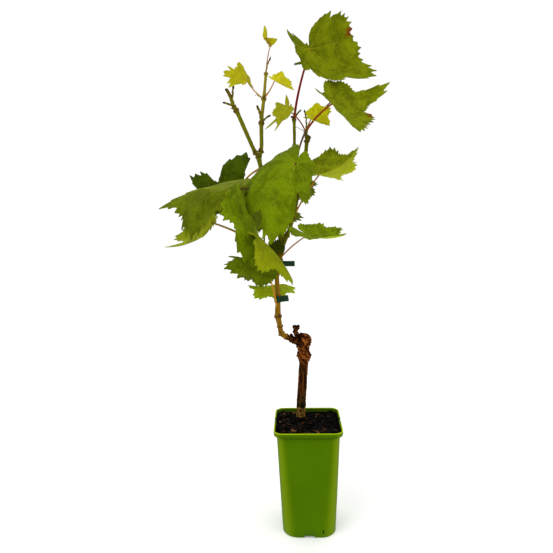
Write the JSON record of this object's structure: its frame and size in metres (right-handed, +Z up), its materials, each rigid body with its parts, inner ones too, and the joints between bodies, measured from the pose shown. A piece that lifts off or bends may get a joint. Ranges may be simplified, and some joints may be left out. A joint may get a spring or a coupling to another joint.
{
  "type": "potted grapevine",
  "caption": "Young grafted grapevine with a short woody stem, slender green shoots and broad lobed leaves, growing in a tall square plastic nursery pot.",
  "frame": {"origin": "middle of the pot's flat underside", "axes": "+Z up along the vine; the pot's sides run along X and Y, and its foot notches are on the -Y and +Y sides"},
  "size_m": [0.308, 0.2577, 0.6745],
  "materials": {
    "pot": "thin bright green moulded plastic, satin",
    "soil": "near-black moist compost with bark chips, rough",
    "bark": "dark reddish-brown young bark, rough",
    "cane": "ripened yellow-brown cane, matte",
    "shoot": "olive green shoot, matte",
    "tie": "dark green plastic tape, matte",
    "leaf": "mid green leaf, matte with a slight sheen",
    "young_leaf": "yellow-green young leaf, matte"
  },
  "bodies": {
    "root": {"pot": "pot", "soil": "soil", "trunk": "bark", "trunk_spur": "bark", "cane_arm": "bark", "cane": "cane", "shoot_left": "shoot", "shoot_left_arm": "shoot", "shoot_left_top": "shoot", "shoot_middle": "shoot", "shoot_right": "shoot", "tie_lower": "tie", "tie_upper": "tie", "leaf_top": "leaf", "leaf_upper_right": "leaf", "leaf_young_right": "young_leaf", "leaf_young_middle": "young_leaf", "leaf_young_left": "young_leaf", "leaf_tip_left": "young_leaf", "tip_spray": "young_leaf", "leaf_front": "leaf", "leaf_front_left": "leaf", "leaf_far_left": "leaf", "leaf_low_left": "leaf", "leaf_low_front": "leaf", "leaf_folded": "young_leaf", "leaf_lowest": "young_leaf", "leaf_crown": "leaf", "leaf_right": "leaf", "leaf_low_right": "leaf", "leaf_back_right": "leaf", "leaf_back_left": "leaf", "leaf_back_middle": "leaf", "leaf_back_low": "leaf", "leaf_back_lowest": "young_leaf", "leaf_back_top": "leaf", "leaf_back_upper_right": "young_leaf", "leaf_back_far_left": "leaf"}
  },
  "joints": []
}
